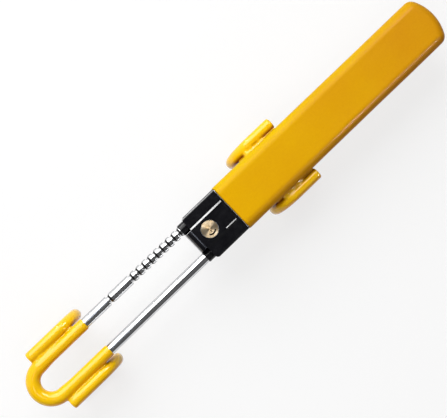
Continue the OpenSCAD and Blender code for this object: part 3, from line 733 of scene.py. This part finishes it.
def build_grip():
    """The whole grip: rolled front lip, straight run, domed end, and a shallow closed mouth."""
    rows = grip_rows()
    front = rows[0]
    rings = [grip_ring(front, GRIP_WALL + past, X_GRIP + back) for past, back in MOUTH]
    for i in range(LIP_STEPS + 1):
        w = 0.5 * math.pi * i / LIP_STEPS
        rings.append(grip_ring(front, LIP_R - LIP_R * math.sin(w), X_GRIP + LIP_R - LIP_R * math.cos(w)))
    rings += [grip_ring(r) for r in rows[1:]]
    around = len(rings[0])
    verts = [(x, y, z + Z_BAR) for ring in rings for x, y, z in ring]
    faces = ring_faces(len(rings) - 1, around)
    faces.append(tuple(range(around)))
    obj = piece("grip_skin", verts, faces, "yellow_grip", "body", "handle_grip")
    bm = bmesh.new()
    bm.from_mesh(obj.data)
    bmesh.ops.remove_doubles(bm, verts=bm.verts, dist=2e-6)
    bmesh.ops.dissolve_degenerate(bm, edges=bm.edges, dist=1e-7)
    bmesh.ops.recalc_face_normals(bm, faces=bm.faces)
    bm.normal_update()
    moves = [v.normal * (drift(v.co / MM) * MM) for v in bm.verts]
    for v, move in zip(bm.verts, moves):
        v.co += move
    bm.to_mesh(obj.data)
    bm.free()
    shade(obj.data, GRIP_SHARP_EDGE)


build_grip()


# Metal and moulded pieces

dressed("bar_chrome", "u_bar", "chrome_bar", "sliding_bar", bevel=0.22, angle=24.0)
dressed("head_shell", "head_cover", "head_plastic", "body", bevel=0.5, angle=24.0)
dressed("collar_left", "bar_collar_left", "collar_plastic", "body", bevel=0.25)
dressed("collar_right", "bar_collar_right", "collar_plastic", "body", bevel=0.25)
dressed("barrel_ring", "lock_barrel", "lock_brass", "body", bevel=0.25)
dressed("barrel_core", "lock_plug", "lock_brass", "plug", bevel=0.12)


# Stage, light and camera

FLOOR_REACH, FLOOR_Z = 6.0, -0.0004
FLOOR_GREY, FLOOR_LIFT = 0.45, 0.45              # tone that lights the lock, and what is added where seen
FLOOR_GLOW = 0.72                                # share of plain white where the floor is seen
WHOLE, MATT_ONLY, SHINE_ONLY = (True, True), (True, False), (False, True)
LAMPS = (
    # name, place, aim, size in metres, watts, whether matt and shiny surfaces see it
    ("key_panel", (0.15, 1.10, 1.10), (0.15, 0.0, 0.06), (1.2, 1.5), 22.5, WHOLE),
    ("front_panel", (-1.25, 0.0, 1.30), (-0.05, 0.0, 0.06), (0.5, 1.6), 3.0, MATT_ONLY),
    ("nose_strip", (-0.44, 0.0, 1.50), (-0.064, 0.0, 0.07), (0.07, 0.44), 0.36, SHINE_ONLY),
    ("rim_strip", (0.054, 1.41, 0.58), (-0.04, 0.0, 0.07), (0.11, 0.45), 2.4, SHINE_ONLY),
    ("brass_panel", (0.75, 0.46, 0.98), (-0.04, 0.0, 0.07), (0.5, 0.5), 8.6, SHINE_ONLY),
    ("top_fill", (-0.42, -0.22, 1.10), (-0.20, 0.0, 0.06), (0.8, 0.8), 2.6, MATT_ONLY),
    ("edge_strip", (0.50, -0.92, 0.86), (0.25, 0.0, 0.07), (0.34, 0.20), 0.58, SHINE_ONLY),
)
LAMP_COLOUR = {"nose_strip": (0.78, 0.84, 1.0)}
LAMP_SPREAD = {"edge_strip": 36.0}
# Levels of the room from the -Y side to the +Y side, with a dark strip overhead
ROOM = ((0.0, 0.03), (0.06, 0.12), (0.42, 0.12), (0.44, 0.02),
        (0.52, 0.02), (0.54, 0.12), (0.61, 0.26), (0.69, 0.70))


def stage():
    """A pale floor that the camera and the metal see as white, with the lock's own shadow on it."""
    mesh = bpy.data.meshes.new("floor")
    r = FLOOR_REACH
    mesh.from_pydata([(-r, -r, 0), (r, -r, 0), (r, r, 0), (-r, r, 0)], [], [(0, 1, 2, 3)])
    obj = bpy.data.objects.new("floor", mesh)
    bpy.context.scene.collection.objects.link(obj)
    obj.location.z = FLOOR_Z
    mat = bpy.data.materials.new("floor_white")
    mat.use_nodes = True
    t = mat.node_tree
    t.nodes.clear()
    ray = t.nodes.new("ShaderNodeLightPath").outputs
    seen = math_node(t, "MAXIMUM", ray["Is Camera Ray"], ray["Is Glossy Ray"])
    seen = math_node(t, "MAXIMUM", seen, ray["Is Transmission Ray"])
    matt = t.nodes.new("ShaderNodeBsdfDiffuse")
    t.links.new(math_node(t, "MULTIPLY_ADD", seen, FLOOR_LIFT, FLOOR_GREY), matt.inputs["Color"])
    glow = t.nodes.new("ShaderNodeEmission")
    glow.inputs["Color"].default_value = (1.0, 1.0, 1.0, 1.0)
    glow.inputs["Strength"].default_value = 1.0
    mix = t.nodes.new("ShaderNodeMixShader")
    t.links.new(math_node(t, "MULTIPLY", seen, FLOOR_GLOW), mix.inputs["Fac"])
    t.links.new(matt.outputs["BSDF"], mix.inputs[1])
    t.links.new(glow.outputs["Emission"], mix.inputs[2])
    out = t.nodes.new("ShaderNodeOutputMaterial")
    t.links.new(mix.outputs["Shader"], out.inputs["Surface"])
    mesh.materials.append(mat)


def area(name, place, aim, size, power, seen_by):
    """A rectangular lamp that faces its aim."""
    lamp = bpy.data.lights.new(name, "AREA")
    lamp.shape = "RECTANGLE"
    lamp.size, lamp.size_y = size
    lamp.energy = power
    lamp.color = LAMP_COLOUR.get(name, PLAIN)
    if name in LAMP_SPREAD:
        lamp.spread = math.radians(LAMP_SPREAD[name])
    obj = bpy.data.objects.new(name, lamp)
    bpy.context.scene.collection.objects.link(obj)
    obj.location = place
    obj.rotation_euler = (Vector(aim) - Vector(place)).to_track_quat("-Z", "Y").to_euler()
    obj.visible_diffuse, obj.visible_glossy = seen_by


def world():
    """A room that is bright on the ratchet leg's side and falls off toward the other."""
    w = bpy.data.worlds.new("studio")
    bpy.context.scene.world = w
    w.use_nodes = True
    t = w.node_tree
    back = t.nodes["Background"]
    back.inputs["Strength"].default_value = 1.0
    where = t.nodes.new("ShaderNodeTexCoord")
    split = t.nodes.new("ShaderNodeSeparateXYZ")
    shift = t.nodes.new("ShaderNodeMapRange")
    shift.inputs["From Min"].default_value = -1.0
    t.links.new(where.outputs["Generated"], split.inputs["Vector"])
    t.links.new(split.outputs["Y"], shift.inputs["Value"])
    greys = [(place, (level, level, level)) for place, level in ROOM]
    t.links.new(ramp_node(t, shift.outputs["Result"], greys), back.inputs["Color"])


def camera():
    """The photograph's view: nearly square on to the face, turned so the handle points up and right."""
    target = Vector((-14.3, 5.2, 72.0)) * MM
    tilt, side, roll = math.radians(4.61), math.radians(-0.73), math.radians(43.83)
    distance, focal_px, width_px, sensor = 1.4, 1281.3, 447.0, 36.0
    back = Vector((-math.sin(tilt), -math.sin(side), 0.0))
    back.z = math.sqrt(1.0 - back.x ** 2 - back.y ** 2)
    along = Vector((1, 0, 0))
    along = (along - back * along.dot(back)).normalized()
    across = back.cross(along)
    right = along * math.cos(roll) - across * math.sin(roll)
    up = along * math.sin(roll) + across * math.cos(roll)
    data = bpy.data.cameras.new("camera")
    data.sensor_fit = "HORIZONTAL"
    data.sensor_width = sensor
    data.lens = sensor * focal_px / width_px
    data.clip_start, data.clip_end = 0.01, 50.0
    obj = bpy.data.objects.new("camera", data)
    bpy.context.scene.collection.objects.link(obj)
    turn = Matrix((right, up, back)).transposed().to_4x4()
    obj.matrix_world = Matrix.Translation(target + back * distance) @ turn
    bpy.context.scene.camera = obj


stage()
world()
for one_lamp in LAMPS:
    area(*one_lamp)
camera()

scene = bpy.context.scene
scene.view_settings.view_transform = "Standard"

bpy.context.view_layer.update()
